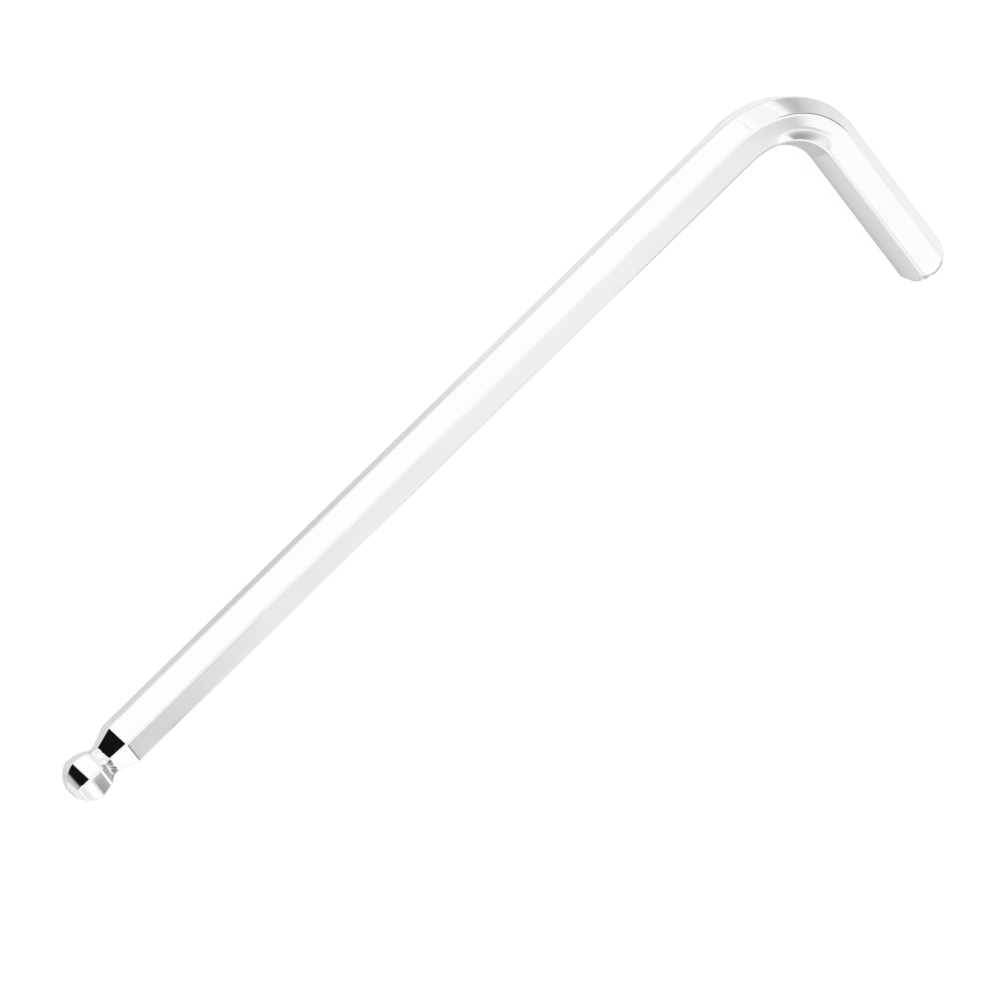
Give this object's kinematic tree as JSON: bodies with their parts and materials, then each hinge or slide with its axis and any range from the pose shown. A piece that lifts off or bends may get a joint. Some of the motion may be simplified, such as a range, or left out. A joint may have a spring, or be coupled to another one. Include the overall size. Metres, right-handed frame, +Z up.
{
  "type": "hex key",
  "caption": "L-shaped hexagonal bar wrench for socket screws, with a ball end on the long arm and a plain chamfered end on the short arm.",
  "frame": {"origin": "middle of the key's rectangle on the surface that it lies on", "axes": "+X along the long arm towards the ball, +Y along the short arm towards its end, +Z up, square to the L"},
  "size_m": [0.13, 0.039, 0.006],
  "materials": {
    "chrome_plate": "mirror-bright plating over a drawn hexagonal steel bar"
  },
  "bodies": {
    "root": {"hex_key": "chrome_plate"}
  },
  "joints": []
}
